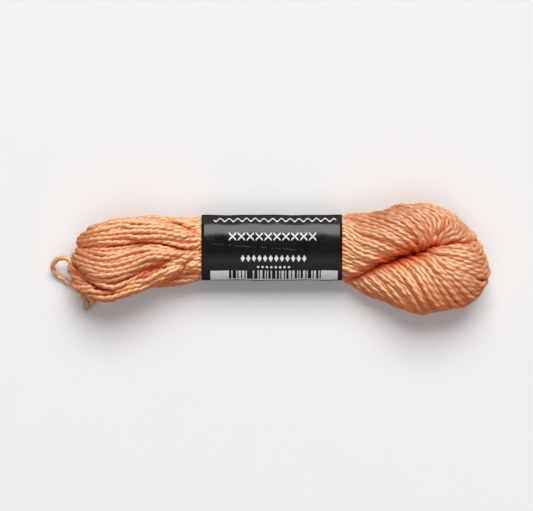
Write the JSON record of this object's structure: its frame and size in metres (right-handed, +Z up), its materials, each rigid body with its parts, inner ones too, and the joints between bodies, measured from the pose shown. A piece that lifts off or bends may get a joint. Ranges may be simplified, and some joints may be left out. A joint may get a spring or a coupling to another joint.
{
  "type": "skein of embroidery floss",
  "caption": "Twisted skein of two-ply silk embroidery yarn in a coated paper band, with a yarn tie at one end; lies flat on a table.",
  "frame": {"origin": "centre of the underside of the skein without its tie, on the surface it lies on", "axes": "+X along the skein towards its folded end, +Y across it, +Z up from the surface"},
  "size_m": [0.1193, 0.0302, 0.0147],
  "materials": {
    "silk_yarn": "lustrous twisted silk yarn",
    "coated_paper": "glossy coated black paper with white print"
  },
  "bodies": {
    "root": {"hank": "silk_yarn", "paper_band": "coated_paper", "tie": "silk_yarn"}
  },
  "joints": []
}
